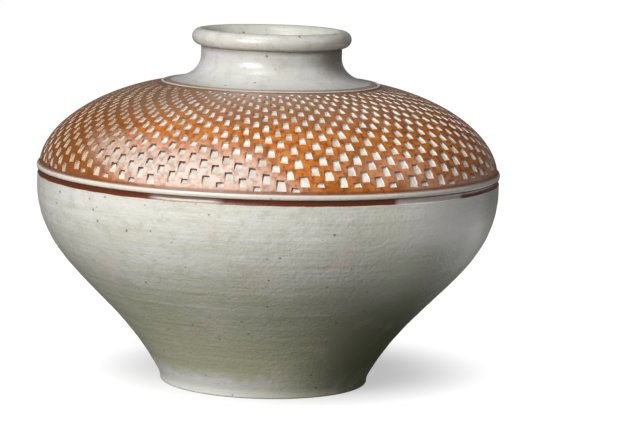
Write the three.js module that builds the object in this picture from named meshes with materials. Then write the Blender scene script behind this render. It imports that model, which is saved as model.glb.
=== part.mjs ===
// Stoneware floor vase: a wide, low-shouldered jar thrown in sections and luted together.
// Every section is a turned solid, and the shoulder is cut all over with small notches. The
// sections key into each other at their seams with a tongue and groove or a lapped ledge, and a
// thin coat of slip fills the clearance between them.
// Millimetres, +Z up. The origin is the centre of the foot, on the surface the vase stands on.
// A profile point is [radius, height]. Profiles run round the section of one wall. A turn is an
// angle round the axis, in degrees from the front (-Y) towards the right (+X).

import * as THREE from 'three';

// Driving dimensions of the outside form, from the foot up. A rise is measured from the place
// named before it: foot seam, widest point of the belly, belt, neck foot, waist of the neck.
const FOOT_RADIUS = 97.5;
const FOOT_UNDERCUT = 3.5;
const FOOT_HEIGHT = 9;
const BELLY_RADIUS = 211.4;
const BELLY_RISE = 173;
const BELT_RISE = 15;
const SHOULDER_SETBACK = 1.8;
const SHOULDER_RISE = 74.75;
const NECK_FOOT_RADIUS = 101;
const NECK_RADIUS = 64.6;
const NECK_RISE = 27.5;
const RIM_SEAM_RISE = 7;
const RIM_HEIGHT = 15;
const RIM_OVERHANG = 8.4;

// Clay thicknesses.
const BELLY_WALL = 10;
const FLOOR_THICKNESS = 12;
const SHOULDER_WALL = 8;
const NECK_WALL = 8;
const FOOT_RING_WIDTH = 15.5;

// Beads and lines that cover or mark the seams.
const BEAD_HEIGHT = 5.5;
const BEAD_SEAT_DEPTH = 3;
const BEAD_PROUD = 0.6;
const PAINTED_GROOVE_HEIGHT = 5;
const PAINTED_GROOVE_DEPTH = 0.9;
const FILLET_WIDTH = 4.5;
const FILLET_SEAT_DEPTH = 0.9;
const FILLET_PROUD = 0.9;

// Notches pressed into the shoulder in leaning columns, each column lower than the one on its
// left by two thirds of the step between notches. The vase itself has twice as many columns;
// every second one is modelled. A notch runs out at its lower edge and is deep under its upper.
const NOTCH_COLUMNS = 60;
const NOTCH_TURN = 2.2;
const NOTCH_HEIGHT = 9;
const NOTCH_DEPTH = 1.5;
const NOTCH_DRAFT = 0.7;
const NOTCH_STEP = 15.3;
const COLUMN_DROP_SHARE = 2 / 3;
const FIRST_COLUMN_TURN = 9.6;
const FIRST_NOTCH_RISE = 9;
const PLAIN_STRIP = 3.2;
const COLUMN_LEAN = { turn: 5.6, reach: 110 };

// The hand's unevenness: columns crowd together on one side, and rows climb on another.
const CROWDING = { amount: 5.85, side: 76.7 };
const ROW_CLIMB = { amount: 9.6, side: 43.7 };

// Luting joints.
const SLIP = 0.3;
const KEY_WIDTH = 3;
const KEY_HEIGHT = 4;
const LEDGE_WIDTH = 6.5;
const LEDGE_DEPTH = 2.6;

// Small rounded edges, and the curve where the inside wall meets the floor.
const FOOT_ARRIS = 1.5;
const FOOT_INNER_TAPER = 2.5;
const FLOOR_CURVE = 24;

// How fully each sweep leaves its lower end and arrives at its upper end, as shares of its span.
const BELLY_FULLNESS = { leave: [0.375, 0.453], arrive: [0, 0.426] };
const SHOULDER_FULLNESS = { leave: [0.034, 0.438], arrive: [0.532, 0.134] };
const NECK_FULLNESS = { leave: [1.076, 0.156], arrive: [0, 0.102] };
const LIP_FULLNESS = { leave: [0.62, 0], arrive: [0, 0.45] };

const SEGMENTS = 36;
const SAME = 1e-6;

const GLAZE = { color: 0xc9c6b8, roughness: 0.42 };
const BARE_CLAY = { color: 0xb9a48c, roughness: 0.85 };
const IRON_SLIP = { color: 0xa85a30, roughness: 0.5 };
const BEAD_GLAZE = { color: 0xddd6c6, roughness: 0.4 };

// A cubic curve between two profile points, bent by the shares in fullness.
function thrownCurve(from, to, fullness) {
  const span = [to[0] - from[0], to[1] - from[1]];
  return new THREE.CubicBezierCurve(
    new THREE.Vector2(from[0], from[1]),
    new THREE.Vector2(from[0] + span[0] * fullness.leave[0], from[1] + span[1] * fullness.leave[1]),
    new THREE.Vector2(to[0] - span[0] * fullness.arrive[0], to[1] - span[1] * fullness.arrive[1]),
    new THREE.Vector2(to[0], to[1]),
  );
}

const profilePoints = (curve, steps) => curve.getPoints(steps).map((point) => [point.x, point.y]);
const sweep = (from, to, fullness, steps) => profilePoints(thrownCurve(from, to, fullness), steps);

// Points on part of an ellipse, from one angle to another in degrees.
function ellipse(centre, radii, fromAngle, toAngle, steps) {
  return Array.from({ length: steps + 1 }, (_, step) => {
    const angle = THREE.MathUtils.degToRad(fromAngle + ((toAngle - fromAngle) * step) / steps);
    return [centre[0] + radii[0] * Math.cos(angle), centre[1] + radii[1] * Math.sin(angle)];
  });
}

// The same line moved into the clay by the wall's thickness, for lines that run upwards outside.
function inset(line, thickness) {
  return line.map((point, index) => {
    const before = line[Math.max(index - 1, 0)];
    const after = line[Math.min(index + 1, line.length - 1)];
    const along = new THREE.Vector2(after[0] - before[0], after[1] - before[1]).normalize();
    return [point[0] - along.y * thickness, point[1] + along.x * thickness];
  });
}

// The point where a line of profile points first crosses a radius (axis 0) or a height (axis 1).
function crossing(line, axis, value) {
  const index = line.findIndex((point, i) => i > 0 && (point[axis] - value) * (line[i - 1][axis] - value) <= 0);
  const [start, end] = [line[index - 1], line[index]];
  const share = (value - start[axis]) / (end[axis] - start[axis]);
  return [start[0] + share * (end[0] - start[0]), start[1] + share * (end[1] - start[1])];
}

// A raised key on top of a seam, walked inwards.
function tongue(middle, seam) {
  const half = KEY_WIDTH / 2;
  return [
    [middle + half, seam],
    [middle + half, seam + KEY_HEIGHT],
    [middle - half, seam + KEY_HEIGHT],
    [middle - half, seam],
  ];
}

// The socket that a tongue seats in with slip all round, walked outwards.
function socket(middle, seam) {
  const half = KEY_WIDTH / 2 + SLIP;
  const roof = seam + KEY_HEIGHT;
  return [
    [middle - half, seam],
    [middle - half, roof],
    [middle + half, roof],
    [middle + half, seam],
  ];
}

// Turns a closed profile, or one that starts and ends on the axis, about the vertical axis.
function turned(profile) {
  const onAxis = profile[0][0] === 0;
  const loop = onAxis ? profile : [...profile, profile[0]];
  const points = loop.map(([radius, height]) => new THREE.Vector2(radius, height));
  return new THREE.LatheGeometry(points, SEGMENTS).rotateX(Math.PI / 2);
}

function placed(turn, radius, height) {
  const angle = THREE.MathUtils.degToRad(turn);
  return new THREE.Vector3(radius * Math.sin(angle), -radius * Math.cos(angle), height);
}

// A profile point taken once round the axis, at the same turns as the turned sections.
function ring([radius, height]) {
  return Array.from({ length: SEGMENTS + 1 }, (_, step) =>
    placed((360 * (step % SEGMENTS)) / SEGMENTS, radius, height),
  );
}

// Corners of the triangles between two lines of points. Seen from outside, the first line is on
// the left of the way that both run. Each triangle takes the shorter of the two next diagonals.
function zip(left, right) {
  const corners = [];
  let [i, j] = [0, 0];
  while (i < left.length - 1 || j < right.length - 1) {
    const byLeft = left[i + 1]?.distanceTo(right[j]) ?? Infinity;
    const byRight = right[j + 1]?.distanceTo(left[i]) ?? Infinity;
    if (byLeft < byRight + SAME) corners.push(left[i], right[j], left[++i]);
    else corners.push(left[i], right[j], right[++j]);
  }
  return corners;
}

function piece(name, geometry, { color, roughness }) {
  const material = new THREE.MeshStandardMaterial({ color, roughness, metalness: 0 });
  const mesh = new THREE.Mesh(geometry, material);
  mesh.name = name;
  return mesh;
}

// A seam's lower face and upper face lie half the slip below and above its height.
const below = (height) => height - SLIP / 2;
const above = (height) => height + SLIP / 2;

// Heights of the places where one form passes into the next.
const bellyHeight = FOOT_HEIGHT + BELLY_RISE;
const beltHeight = bellyHeight + BELT_RISE;
const beadBottom = beltHeight - BEAD_HEIGHT / 2;
const beadTop = beltHeight + BEAD_HEIGHT / 2;
const neckFootHeight = beadTop + SHOULDER_RISE;
const neckHeight = neckFootHeight + NECK_RISE;
const rimSeamHeight = neckHeight + RIM_SEAM_RISE;

// Shared lines and radii: each is used by both sections that meet there.
const bellyLine = sweep([FOOT_RADIUS, above(FOOT_HEIGHT)], [BELLY_RADIUS, bellyHeight], BELLY_FULLNESS, 9);
const beadSeatRadius = BELLY_RADIUS - BEAD_SEAT_DEPTH;
const shoulderRadius = BELLY_RADIUS - SHOULDER_SETBACK;
const shoulderCurve = thrownCurve([shoulderRadius, beadTop], [NECK_FOOT_RADIUS, neckFootHeight], SHOULDER_FULLNESS);
const bellyInsideRadius = BELLY_RADIUS - BELLY_WALL;
const shoulderInsideRadius = shoulderRadius - SHOULDER_WALL;
const beltKeyRadius = (Math.max(bellyInsideRadius, shoulderInsideRadius) + beadSeatRadius) / 2;
const footKeyRadius = FOOT_RADIUS - FOOT_RING_WIDTH / 2;

const collarRadius = NECK_FOOT_RADIUS - FILLET_WIDTH;
const neckSeamRadius = NECK_FOOT_RADIUS - FILLET_WIDTH / 2;
const filletSeatHeight = neckFootHeight - FILLET_SEAT_DEPTH;
const ledgeHeight = filletSeatHeight - LEDGE_DEPTH;
const ledgeRadius = neckSeamRadius - LEDGE_WIDTH;
const neckLine = sweep(
  [collarRadius, neckFootHeight + 2 * FILLET_PROUD],
  [NECK_RADIUS, neckHeight],
  NECK_FULLNESS,
  5,
);
const mouthRadius = NECK_RADIUS - NECK_WALL;
const rimKeyRadius = (NECK_RADIUS + mouthRadius) / 2;

// Turned ring that the vase stands on, keyed into the underside of the bowl.
function footRing() {
  const innerRadius = FOOT_RADIUS - FOOT_RING_WIDTH;
  const restRadius = FOOT_RADIUS - FOOT_UNDERCUT;
  const seat = below(FOOT_HEIGHT);
  return turned([
    [innerRadius + FOOT_INNER_TAPER, 0],
    ...ellipse([restRadius, FOOT_ARRIS], [FOOT_ARRIS, FOOT_ARRIS], -90, 0, 2),
    [FOOT_RADIUS, seat],
    ...tongue(footKeyRadius, seat),
    [innerRadius, seat],
  ]);
}

// Thrown bowl with its floor: the lower half of the body, up to the seam under the bead.
function lowerSection() {
  const seat = above(FOOT_HEIGHT);
  const seam = below(beltHeight);
  const floorTop = seat + FLOOR_THICKNESS;
  const insideLine = inset(bellyLine, BELLY_WALL);
  const curveTop = floorTop + FLOOR_CURVE;
  const insideWall = [crossing(insideLine, 1, curveTop), ...insideLine.filter((point) => point[1] > curveTop)];
  const paintedGroove = ellipse(
    [BELLY_RADIUS, beadBottom - PAINTED_GROOVE_HEIGHT / 2],
    [PAINTED_GROOVE_DEPTH, PAINTED_GROOVE_HEIGHT / 2],
    270,
    90,
    3,
  );
  return turned([
    [0, seat],
    ...socket(footKeyRadius, seat),
    ...bellyLine,
    ...paintedGroove,
    [beadSeatRadius, beadBottom],
    [beadSeatRadius, seam],
    ...tongue(beltKeyRadius, seam),
    [bellyInsideRadius, seam],
    ...insideWall.toReversed(),
    ...floorSweep(insideWall, floorTop),
    [0, floorTop],
  ]);
}

// The thrown curve that carries the inside wall down into the floor, tangent to both.
function floorSweep([wallEnd, next], floorTop) {
  const height = wallEnd[1] - floorTop;
  const lean = (next[0] - wallEnd[0]) / (next[1] - wallEnd[1]);
  const corner = [wallEnd[0] - lean * height, floorTop];
  const reach = Math.hypot(lean * height, height);
  const curve = new THREE.QuadraticBezierCurve(
    new THREE.Vector2(...wallEnd),
    new THREE.Vector2(...corner),
    new THREE.Vector2(corner[0] - reach, floorTop),
  );
  return curve.getPoints(4).slice(1).map((point) => [point.x, point.y]);
}

// Half-round coil of clay that covers the seam between the two thrown halves.
function beltBead() {
  const back = beadSeatRadius + SLIP;
  const crownRadius = BELLY_RADIUS + BEAD_PROUD;
  const shoulderOfBead = (back + crownRadius) / 2;
  return turned([
    [back, beadBottom + SLIP],
    ...ellipse(
      [shoulderOfBead, beltHeight],
      [crownRadius - shoulderOfBead, BEAD_HEIGHT / 2 - SLIP],
      -90,
      90,
      4,
    ),
    [back, beadTop - SLIP],
  ]);
}

// A point of the dome at a turn and at a distance up along its line, or pressed in by a depth.
function onDome(turn, along, depth = 0) {
  const share = along / shoulderCurve.getLength();
  const point = shoulderCurve.getPointAt(share);
  const upwards = shoulderCurve.getTangentAt(share);
  return placed(turn, point.x - upwards.y * depth, point.y + upwards.x * depth);
}

// An unevenness that swings once round the vase.
const wave = (turn, { amount, side }) => amount * Math.sin(THREE.MathUtils.degToRad(turn + side));

// The notches of one column from the bead up: the turns of their sides and the distances of
// their lower and upper edges along the dome.
function notchColumn(column) {
  const even = FIRST_COLUMN_TURN + (360 * column) / NOTCH_COLUMNS;
  const foot = even - wave(even, CROWDING);
  const drop = column * COLUMN_DROP_SHARE * NOTCH_STEP;
  const start = FIRST_NOTCH_RISE - drop - wave(foot, ROW_CLIMB);
  const highest = shoulderCurve.getLength() - PLAIN_STRIP - NOTCH_HEIGHT;
  const notches = [];
  const skipped = Math.ceil((PLAIN_STRIP - start) / NOTCH_STEP);
  for (let low = start + skipped * NOTCH_STEP; low <= highest; low += NOTCH_STEP) {
    const leant = 1 - (1 - Math.min((low + NOTCH_HEIGHT / 2) / COLUMN_LEAN.reach, 1)) ** 2;
    const middle = foot - COLUMN_LEAN.turn * leant;
    notches.push({
      left: middle - NOTCH_TURN / 2,
      right: middle + NOTCH_TURN / 2,
      low,
      high: low + NOTCH_HEIGHT,
    });
  }
  return notches;
}

// Corners of the six faces of a notch: its sloping floor, the wall under its upper edge, its sides.
function pressedIn({ left, right, low, high }) {
  const [lowLeft, lowRight] = [onDome(left, low), onDome(right, low)];
  const [highLeft, highRight] = [onDome(left, high), onDome(right, high)];
  const [deepLeft, deepRight] = [left, right].map((turn) => onDome(turn, high - NOTCH_DRAFT, NOTCH_DEPTH));
  return [
    ...[lowLeft, lowRight, deepRight],
    ...[lowLeft, deepRight, deepLeft],
    ...[highRight, highLeft, deepLeft],
    ...[highRight, deepLeft, deepRight],
    ...[lowRight, highRight, deepRight],
    ...[highLeft, lowLeft, deepLeft],
  ];
}

// The dome's outside: the notches, the clay left between them, and the plain strips at both ends.
function notchedDome(bottomRing, topRing) {
  const columns = Array.from({ length: NOTCH_COLUMNS }, (_, column) => notchColumn(column));
  const side = (notches, name) =>
    notches.flatMap((notch) => [onDome(notch[name], notch.low), onDome(notch[name], notch.high)]);
  const lefts = columns.map((notches) => side(notches, 'left'));
  const rights = columns.map((notches) => side(notches, 'right'));
  const around = (end) => {
    const points = lefts.flatMap((line, column) => [line.at(end), rights[column].at(end)]);
    return [...points, points[0]];
  };
  return [
    ...zip(around(0), bottomRing),
    ...columns.flatMap((notches, column) => [
      ...notches.flatMap(pressedIn),
      ...notches.slice(1).flatMap((_, index) => {
        const web = [2 * index + 1, 2 * index + 3];
        return zip(lefts[column].slice(...web), rights[column].slice(...web));
      }),
      ...zip(rights[column], lefts[(column + 1) % NOTCH_COLUMNS]),
    ]),
    ...zip(topRing, around(-1)),
  ];
}

// Thrown dome with its notches, and its ledge round the mouth where the collar is seated.
function shoulderSection() {
  const seam = above(beltHeight);
  const inside = inset(profilePoints(shoulderCurve, 7), SHOULDER_WALL);
  const lipUnderside = inside[inside.length - 1][1] + SLIP;
  const rings = [
    [NECK_FOOT_RADIUS, neckFootHeight],
    [NECK_FOOT_RADIUS, filletSeatHeight],
    [neckSeamRadius + SLIP / 2, filletSeatHeight],
    [neckSeamRadius + SLIP / 2, below(ledgeHeight)],
    [ledgeRadius, below(ledgeHeight)],
    [ledgeRadius, lipUnderside],
    ...inside.toReversed(),
    [shoulderInsideRadius, seam],
    ...socket(beltKeyRadius, seam),
    [beadSeatRadius, seam],
    [beadSeatRadius, beadTop],
    [shoulderRadius, beadTop],
  ].map(ring);
  const plain = rings.slice(1).flatMap((next, index) => zip(next, rings[index]));
  const corners = [...notchedDome(rings.at(-1), rings[0]), ...plain];
  const geometry = new THREE.BufferGeometry().setFromPoints(corners);
  geometry.computeVertexNormals();
  return geometry;
}

// Thin ridge between two lines, laid over the seam at the foot of the neck.
function neckFillet() {
  const outer = NECK_FOOT_RADIUS - SLIP;
  const inner = collarRadius + SLIP;
  const floor = filletSeatHeight + SLIP;
  return turned([
    [inner, floor],
    [outer, floor],
    ...ellipse([(outer + inner) / 2, neckFootHeight], [(outer - inner) / 2, 2 * FILLET_PROUD], 0, 180, 3),
  ]);
}

// Thrown collar: its flange laps over the shoulder's ledge, and its top is keyed for the rim.
function neckCollar() {
  const seam = below(rimSeamHeight);
  const flangeInner = ledgeRadius - SLIP;
  const insideLine = inset(neckLine, NECK_WALL);
  const insideFoot = crossing(insideLine, 0, flangeInner);
  const insideWall = insideLine.filter((point) => point[0] < flangeInner - SLIP);
  return turned([
    [neckSeamRadius - SLIP / 2, above(ledgeHeight)],
    [neckSeamRadius - SLIP / 2, filletSeatHeight],
    [collarRadius, filletSeatHeight],
    ...neckLine,
    [NECK_RADIUS, seam],
    ...tongue(rimKeyRadius, seam),
    [mouthRadius, seam],
    ...insideWall.toReversed(),
    insideFoot,
    [flangeInner, above(ledgeHeight)],
  ]);
}

// Thick rolled rim, turned over outwards, with a soft lip inside the mouth.
function rolledRim() {
  const seam = above(rimSeamHeight);
  const rollRadius = (rimSeamHeight + RIM_HEIGHT - seam) / 2;
  const rollCentre = [NECK_RADIUS + RIM_OVERHANG - rollRadius, seam + rollRadius];
  const crest = [rollCentre[0], seam + 2 * rollRadius];
  return turned([
    ...socket(rimKeyRadius, seam),
    [NECK_RADIUS, seam],
    ...ellipse(rollCentre, [rollRadius, rollRadius], -90, 90, 7),
    ...sweep(crest, [mouthRadius, seam], LIP_FULLNESS, 4).slice(1),
  ]);
}

const vase = new THREE.Group();
vase.add(piece('foot_ring', footRing(), BARE_CLAY));
vase.add(piece('lower_section', lowerSection(), GLAZE));
vase.add(piece('belt_bead', beltBead(), BEAD_GLAZE));
vase.add(piece('shoulder_section', shoulderSection(), IRON_SLIP));
vase.add(piece('neck_fillet', neckFillet(), BEAD_GLAZE));
vase.add(piece('neck_collar', neckCollar(), GLAZE));
vase.add(piece('rolled_rim', rolledRim(), GLAZE));

export default vase;
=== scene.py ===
# %% [markdown]
# # A wide stoneware floor vase
#
# This lesson builds a floor vase that was thrown on a wheel in sections and joined with slip:
# a turned foot, a bowl, a bead of clay round the belt, a domed shoulder cut all over with small
# notches, a ridge, a collar and a rolled rim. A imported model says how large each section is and
# where it sits. Here each one is modelled again with the tools of edit mode, and glazed. What
# is turned on a wheel has one outline and one axis, so the main tool is spin.

# %% Load the frame
import math
import random

import bmesh
import bpy
import numpy as np
from mathutils import Matrix, Vector
from mathutils.geometry import interpolate_bezier


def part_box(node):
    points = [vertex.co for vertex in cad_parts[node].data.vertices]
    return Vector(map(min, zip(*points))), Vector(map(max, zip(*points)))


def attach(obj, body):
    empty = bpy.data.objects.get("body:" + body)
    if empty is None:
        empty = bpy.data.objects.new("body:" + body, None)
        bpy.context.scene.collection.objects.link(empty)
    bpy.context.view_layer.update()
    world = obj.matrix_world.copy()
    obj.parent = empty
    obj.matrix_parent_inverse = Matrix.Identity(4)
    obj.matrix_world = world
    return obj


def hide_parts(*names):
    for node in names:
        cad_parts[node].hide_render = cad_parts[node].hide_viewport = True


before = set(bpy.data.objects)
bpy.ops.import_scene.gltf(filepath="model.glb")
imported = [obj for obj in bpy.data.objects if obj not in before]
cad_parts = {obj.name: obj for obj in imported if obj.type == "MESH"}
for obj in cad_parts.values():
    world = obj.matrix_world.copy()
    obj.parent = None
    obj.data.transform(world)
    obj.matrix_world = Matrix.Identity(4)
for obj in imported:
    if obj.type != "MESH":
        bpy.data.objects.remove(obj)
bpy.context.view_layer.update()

print("sections in the frame:", ", ".join(sorted(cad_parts)))

# %% [markdown]
# ## Sizes
#
# Lengths are in metres, written as a number of millimetres times `mm`. An outline point is a
# pair: radius from the axis, and height above the floor. What the frame tells is read from it,
# and only the rest, such as how full a curve is, is written here.

# %% Units and the sizes that the frame gives
mm = 0.001
SLIP = 0.3 * mm


def reach(node):
    """Largest radius, bottom and top of a turned section."""
    low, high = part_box(node)
    return high.x, low.z, high.z


foot_radius, _, _ = reach("foot_ring")
belly_radius, bowl_bottom, _ = reach("lower_section")
bead_radius, bead_low, bead_high = reach("belt_bead")
shoulder_radius, _, shoulder_top = reach("shoulder_section")
ridge_radius, ridge_bottom, ridge_top = reach("neck_fillet")
rim_radius, rim_seam, rim_top = reach("rolled_rim")

foot_seam = bowl_bottom - SLIP / 2
bead_bottom, bead_top = bead_low - SLIP, bead_high + SLIP
print(f"belly {2 * belly_radius / mm:.0f} mm across, rim {2 * rim_radius / mm:.0f} mm, "
      f"height {rim_top / mm:.0f} mm")

# %% [markdown]
# ## Drawing an outline
#
# A turned form could start from a scaled cylinder or a Screw modifier. Tracing the outline and
# spinning it is closer to the potter's own wooden profile: one wire, extruded point by point,
# holds the outside, the inside and the joint faces, and one spin turns it into a solid wall.
#
# The wire starts as the smallest thing that a primitive can be: a tiny plane whose corners are
# merged into one vertex. Each further point is an extrusion of the last one.

# %% Trace and turn
SMALLEST = 0.01 * mm


def clear_selection():
    if bpy.context.mode != "OBJECT":
        bpy.ops.object.mode_set(mode="OBJECT")
    bpy.ops.object.select_all(action="DESELECT")


def pick(piece):
    """Selects one piece alone and makes it the active one."""
    clear_selection()
    piece.select_set(True)
    bpy.context.view_layer.objects.active = piece


def trace(name, outline):
    """A wire through the outline's points, in the plane of the X axis, left in edit mode."""
    clear_selection()
    bpy.ops.mesh.primitive_plane_add(size=mm)
    piece = bpy.context.object
    piece.name = piece.data.name = name
    bpy.ops.object.mode_set(mode="EDIT")
    bpy.ops.mesh.select_mode(type="VERT")
    bpy.ops.mesh.merge(type="CENTER")
    place = (0.0, 0.0)
    for radius, height in outline:
        step = (radius - place[0], 0.0, height - place[1])
        if place == (0.0, 0.0):
            bpy.ops.transform.translate(value=step)
        else:
            bpy.ops.mesh.extrude_vertices_move(TRANSFORM_OT_translate={"value": step})
        place = (radius, height)
    return piece


def turn(piece, steps):
    """Spins the wire once round the axis, closes seam and poles, and points the faces out."""
    bpy.ops.mesh.select_all(action="SELECT")
    bpy.ops.mesh.spin(steps=steps, angle=math.tau, center=(0, 0, 0), axis=(0, 0, 1))
    bpy.ops.mesh.select_all(action="SELECT")
    bpy.ops.mesh.remove_doubles(threshold=SMALLEST)
    bpy.ops.mesh.normals_make_consistent(inside=False)
    bpy.ops.object.mode_set(mode="OBJECT")
    return piece


def closed(outline):
    return outline + outline[:1]


# %% [markdown]
# ## Curves in an outline
#
# Two kinds of curve are enough for a thrown pot. A sweep is one cubic curve between two points,
# for the long lines that a potter's hand pulls up. A round is part of a circle or an ellipse,
# for beads, grooves and softened edges.

# %% Sweeps and rounds
KEY_HALF = 1.5 * mm


def sweep(start, leave, arrive, end, count):
    """Outline points on a cubic curve that leaves start towards leave and comes from arrive."""
    knots = [Vector((radius, height, 0.0)) for radius, height in (start, leave, arrive, end)]
    return [(point.x, point.y) for point in interpolate_bezier(*knots, count)]


def spanned(start, end, leave, arrive, count):
    """The same curve, with its middle points given as shares of the span from start to end."""
    span = (end[0] - start[0], end[1] - start[1])
    leaving = (start[0] + leave[0] * span[0], start[1] + leave[1] * span[1])
    arriving = (end[0] - arrive[0] * span[0], end[1] - arrive[1] * span[1])
    return sweep(start, leaving, arriving, end, count)


def rounded(centre, radii, start, end, count):
    """Outline points on part of an ellipse, from one angle to another in degrees."""
    angles = [math.radians(start + (end - start) * i / (count - 1)) for i in range(count)]
    return [(centre[0] + radii[0] * math.cos(a), centre[1] + radii[1] * math.sin(a))
            for a in angles]


def inside(line, wall):
    """The line moved into the clay by the wall's thickness, for a line that runs upwards."""
    moved = []
    for i, (radius, height) in enumerate(line):
        before, after = line[max(i - 1, 0)], line[min(i + 1, len(line) - 1)]
        along = Vector((after[0] - before[0], after[1] - before[1])).normalized()
        moved.append((radius - along.y * wall, height + along.x * wall))
    return moved


def key(middle, seam, height):
    """The tongue on a seam, walked from outside to inside."""
    return [(middle + KEY_HALF, seam), (middle + KEY_HALF, seam + height),
            (middle - KEY_HALF, seam + height), (middle - KEY_HALF, seam)]


# %% [markdown]
# ## The throwing rings
#
# Fingers leave faint rings up a thrown wall, a few millimetres apart and a few tenths deep, and
# the wall is never quite true. Bump wouldn't change the edge of the form, so here they are
# real: a Displace modifier with a cloud texture. It is read through an empty that is wide and
# very flat, which draws the clouds out into rings. A second, large cloud bends the sections by
# about half a millimetre, all in the same way, so that they still meet.

# %% Throwing rings and the potter's wobble
RING_STRETCH = (0.25, 0.25, 0.0075)
WOBBLE_STRETCH = (0.14, 0.14, 0.10)
WOBBLE = 1.0 * mm
WOBBLE_START = 60 * mm


def cloud(name, kind):
    texture = bpy.data.textures.new(name, "CLOUDS")
    texture.cloud_type = kind
    texture.noise_scale = 1.0
    return texture


def squeezed_space(name, scale):
    clear_selection()
    bpy.ops.object.empty_add(type="PLAIN_AXES")
    space = bpy.context.object
    space.name = name
    space.scale = scale
    bpy.context.view_layer.update()
    return space


ring_cloud = cloud("finger rings", "GRAYSCALE")
wobble_cloud = cloud("wobble of the wall", "COLOR")
ring_space = squeezed_space("ring space", RING_STRETCH)
wobble_space = squeezed_space("wobble space", WOBBLE_STRETCH)


def weigh(piece, name, weight_at):
    """A vertex group whose weight at each point follows from the point's height."""
    group = piece.vertex_groups.new(name=name)
    for vertex in piece.data.vertices:
        group.add([vertex.index], min(max(weight_at(vertex.co.z), 0), 1), "REPLACE")
    return name


def displace(piece, texture, space, strength, group, direction):
    pick(piece)
    bpy.ops.object.modifier_add(type="DISPLACE")
    modifier = piece.modifiers[-1]
    modifier.texture = texture
    modifier.texture_coords = "OBJECT"
    modifier.texture_coords_object = space
    modifier.direction = direction
    modifier.vertex_group = group
    modifier.mid_level = 0.5
    modifier.strength = strength
    bpy.ops.object.modifier_apply(modifier=modifier.name)


def finish_thrown(piece, rings=0, low=0, high=1, fade=12 * mm, sharp=38):
    """Rings between two heights, the wobble that all sections share, and smooth shading."""
    if rings:
        wall = weigh(piece, "thrown wall", lambda height: min(height - low, high - height) / fade)
        displace(piece, ring_cloud, ring_space, rings, wall, "NORMAL")
    raised = weigh(piece, "above the foot", lambda height: height / WOBBLE_START)
    displace(piece, wobble_cloud, wobble_space, WOBBLE, raised, "RGB_TO_XYZ")
    piece.vertex_groups.clear()
    pick(piece)
    bpy.ops.object.shade_smooth_by_angle(angle=math.radians(sharp))
    top = max(vertex.co.z for vertex in piece.data.vertices)
    print(f"{piece.name}: {len(piece.data.polygons)} faces, {top / mm:.1f} mm high")
    return piece


# %% [markdown]
# ## The bowl
#
# The lower half of the body is a bowl with its own floor. Its outline goes up the outside from
# the foot, over the groove that holds the painted line, in under the bead, over the tongue of
# the joint, and back down the inside to the middle of the floor. Rings need about six points
# each to be round, so the long sweep gets many.

# %% Outline of the bowl
BELLY_WALL = 10 * mm
SHOULDER_WALL = 8 * mm
FLOOR = 12 * mm
KEY_HEIGHT = 4 * mm
BELLY_RISE = 173 * mm
BELLY_LEAVES, BELLY_ARRIVES = (0.375, 0.453), (0, 0.426)
GROOVE_HEIGHT = 5 * mm
GROOVE_DEPTH = 0.9 * mm
BEAD_SEAT = 3 * mm
FOOT_WIDTH = 15.5 * mm

belt = (bead_bottom + bead_top) / 2
belly_height = foot_seam + BELLY_RISE
bead_seat_radius = belly_radius - BEAD_SEAT
belly_inside = belly_radius - BELLY_WALL
belt_key = (shoulder_radius - SHOULDER_WALL + bead_seat_radius) / 2
foot_key = foot_radius - FOOT_WIDTH / 2

belly_line = spanned((foot_radius, foot_seam), (belly_radius, belly_height),
                     BELLY_LEAVES, BELLY_ARRIVES, 170)
groove = rounded((belly_radius, bead_bottom - GROOVE_HEIGHT / 2),
                 (GROOVE_DEPTH, GROOVE_HEIGHT / 2), 270, 90, 11)

# %% Inside of the bowl
FLOOR_CURVE = 24 * mm
FLAT_FLOOR = 0.6
FLOOR_LEAVES = 0.86
FLOOR_ARRIVES, FLOOR_ARRIVES_RISE = 0.88, 5 * mm

floor_top = bowl_bottom + FLOOR
wall_line = [point for point in inside(belly_line[::3], BELLY_WALL)
             if point[1] > floor_top + FLOOR_CURVE]
wall_foot = wall_line[0]
floor_line = sweep((FLAT_FLOOR * wall_foot[0], floor_top),
                   (FLOOR_LEAVES * wall_foot[0], floor_top),
                   (FLOOR_ARRIVES * wall_foot[0], floor_top + FLOOR_ARRIVES_RISE),
                   wall_foot, 12)
print(f"bowl outline: {len(belly_line)} points outside, {len(wall_line)} up the inside")

# %% Spin the bowl
ROUND = 192

bowl = trace("thrown_bowl", [
    (0, foot_seam),
    *key(foot_key, foot_seam, KEY_HEIGHT)[::-1],
    *belly_line,
    *groove,
    (bead_seat_radius, bead_bottom),
    (bead_seat_radius, belt),
    *key(belt_key, belt, KEY_HEIGHT),
    (belly_inside, belt),
    *wall_line[::-1],
    *floor_line[::-1][1:],
    (0, floor_top),
])
turn(bowl, ROUND)
finish_thrown(bowl, rings=0.38 * mm, low=foot_seam, high=bead_bottom - GROOVE_HEIGHT)

# %% [markdown]
# ## The foot
#
# The foot is a separate ring, turned with a metal tool once the bowl was leather hard. It is
# crisp inside, has a small rounded arris where it meets the floor, and its outside runs without
# a break into the bowl.

# %% Foot
REST_UNDERCUT = 3.5 * mm
ARRIS = 1.5 * mm
INNER_TAPER = 2.5 * mm
FOOT_SWELL = 4 * mm
FOOT_MEETS = 2.4 * mm

rest_radius = foot_radius - REST_UNDERCUT
foot_inside = foot_radius - FOOT_WIDTH
arris = rounded((rest_radius, ARRIS), (ARRIS, ARRIS), -90, 0, 7)
bowl_leaves = Vector((belly_line[1][0] - belly_line[0][0],
                      belly_line[1][1] - belly_line[0][1])).normalized()
foot_line = sweep(arris[-1], (arris[-1][0], FOOT_SWELL),
                  (foot_radius - FOOT_MEETS * bowl_leaves.x,
                   foot_seam - FOOT_MEETS * bowl_leaves.y),
                  (foot_radius, foot_seam), 10)

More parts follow.
